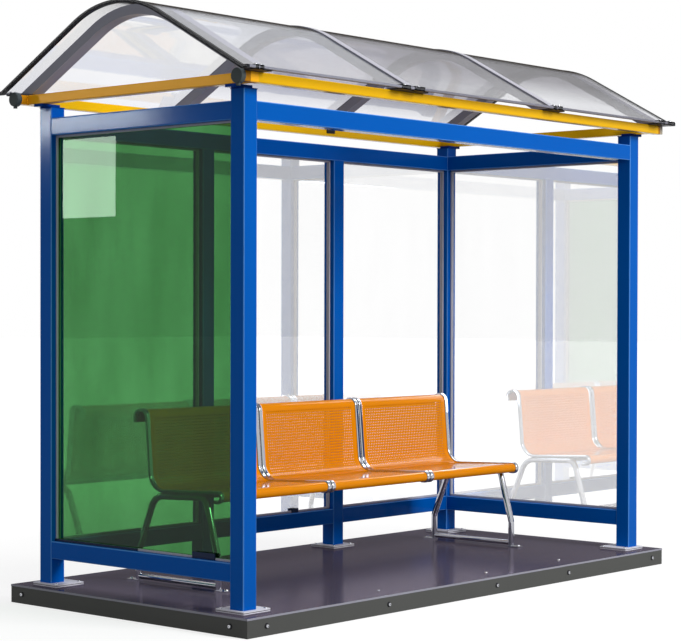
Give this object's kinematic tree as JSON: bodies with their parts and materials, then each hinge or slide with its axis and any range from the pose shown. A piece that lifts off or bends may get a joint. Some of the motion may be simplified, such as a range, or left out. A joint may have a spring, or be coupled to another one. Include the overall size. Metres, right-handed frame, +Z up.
{
  "type": "bus shelter",
  "caption": "Open-fronted bus shelter: box-section posts on a flat plinth, glazed back and ends, a vaulted clear roof on a tube frame, and a perforated metal bench.",
  "frame": {"origin": "centre of the plinth's underside, which is the bottom centre of the whole shelter", "axes": "+X along the shelter to the right seen from its open front, +Y from the open front to the glazed back, +Z up"},
  "size_m": [3.25, 1.58, 2.673],
  "materials": {
    "blue_paint": "gloss powder coat",
    "yellow_paint": "gloss powder coat",
    "orange_paint": "gloss powder coat",
    "plinth_grey": "satin dark grey sheet",
    "deck_grey": "glossy dark grey sheet",
    "zinc": "bright zinc plate",
    "dark_plastic": "moulded end caps",
    "clear_glass": "clear toughened glass",
    "green_glass": "green tinted toughened glass",
    "clear_sheet": "clear acrylic roofing",
    "bright_aluminium": "polished aluminium profile",
    "chrome_tube": "chrome plate",
    "carrier_grey": "satin grey paint"
  },
  "bodies": {
    "root": {"plinth_box": "plinth_grey", "deck_sheet": "deck_grey", "post_front_left": "blue_paint", "post_front_right": "blue_paint", "post_back_left": "blue_paint", "post_back_right": "blue_paint", "post_back_mid_left": "blue_paint", "post_back_mid_right": "blue_paint", "foot_plates": "zinc", "post_caps": "zinc", "low_rails_back": "blue_paint", "low_rail_left": "blue_paint", "low_rail_right": "blue_paint", "top_rail_front": "blue_paint", "top_rail_back": "blue_paint", "top_rail_left": "blue_paint", "top_rail_right": "blue_paint", "glass_left": "green_glass", "glass_right": "clear_glass", "glass_back_left": "clear_glass", "glass_back_centre": "clear_glass", "glass_back_right": "clear_glass", "roof_beam_front": "yellow_paint", "roof_beam_back": "yellow_paint", "roof_beam_left": "yellow_paint", "roof_beam_right": "yellow_paint", "beam_discs": "dark_plastic", "roof_sheet_left": "clear_sheet", "roof_sheet_centre": "clear_sheet", "roof_sheet_right": "clear_sheet", "roof_rib_left": "bright_aluminium", "roof_rib_mid_left": "bright_aluminium", "roof_rib_mid_right": "bright_aluminium", "roof_rib_right": "bright_aluminium", "seat_left": "orange_paint", "seat_centre": "orange_paint", "seat_right": "orange_paint", "bench_bar_left": "chrome_tube", "bench_bar_mid_left": "chrome_tube", "bench_bar_mid_right": "chrome_tube", "bench_bar_right": "chrome_tube", "bench_leg_left": "chrome_tube", "bench_leg_right": "chrome_tube", "bench_carrier": "carrier_grey"}
  },
  "joints": []
}
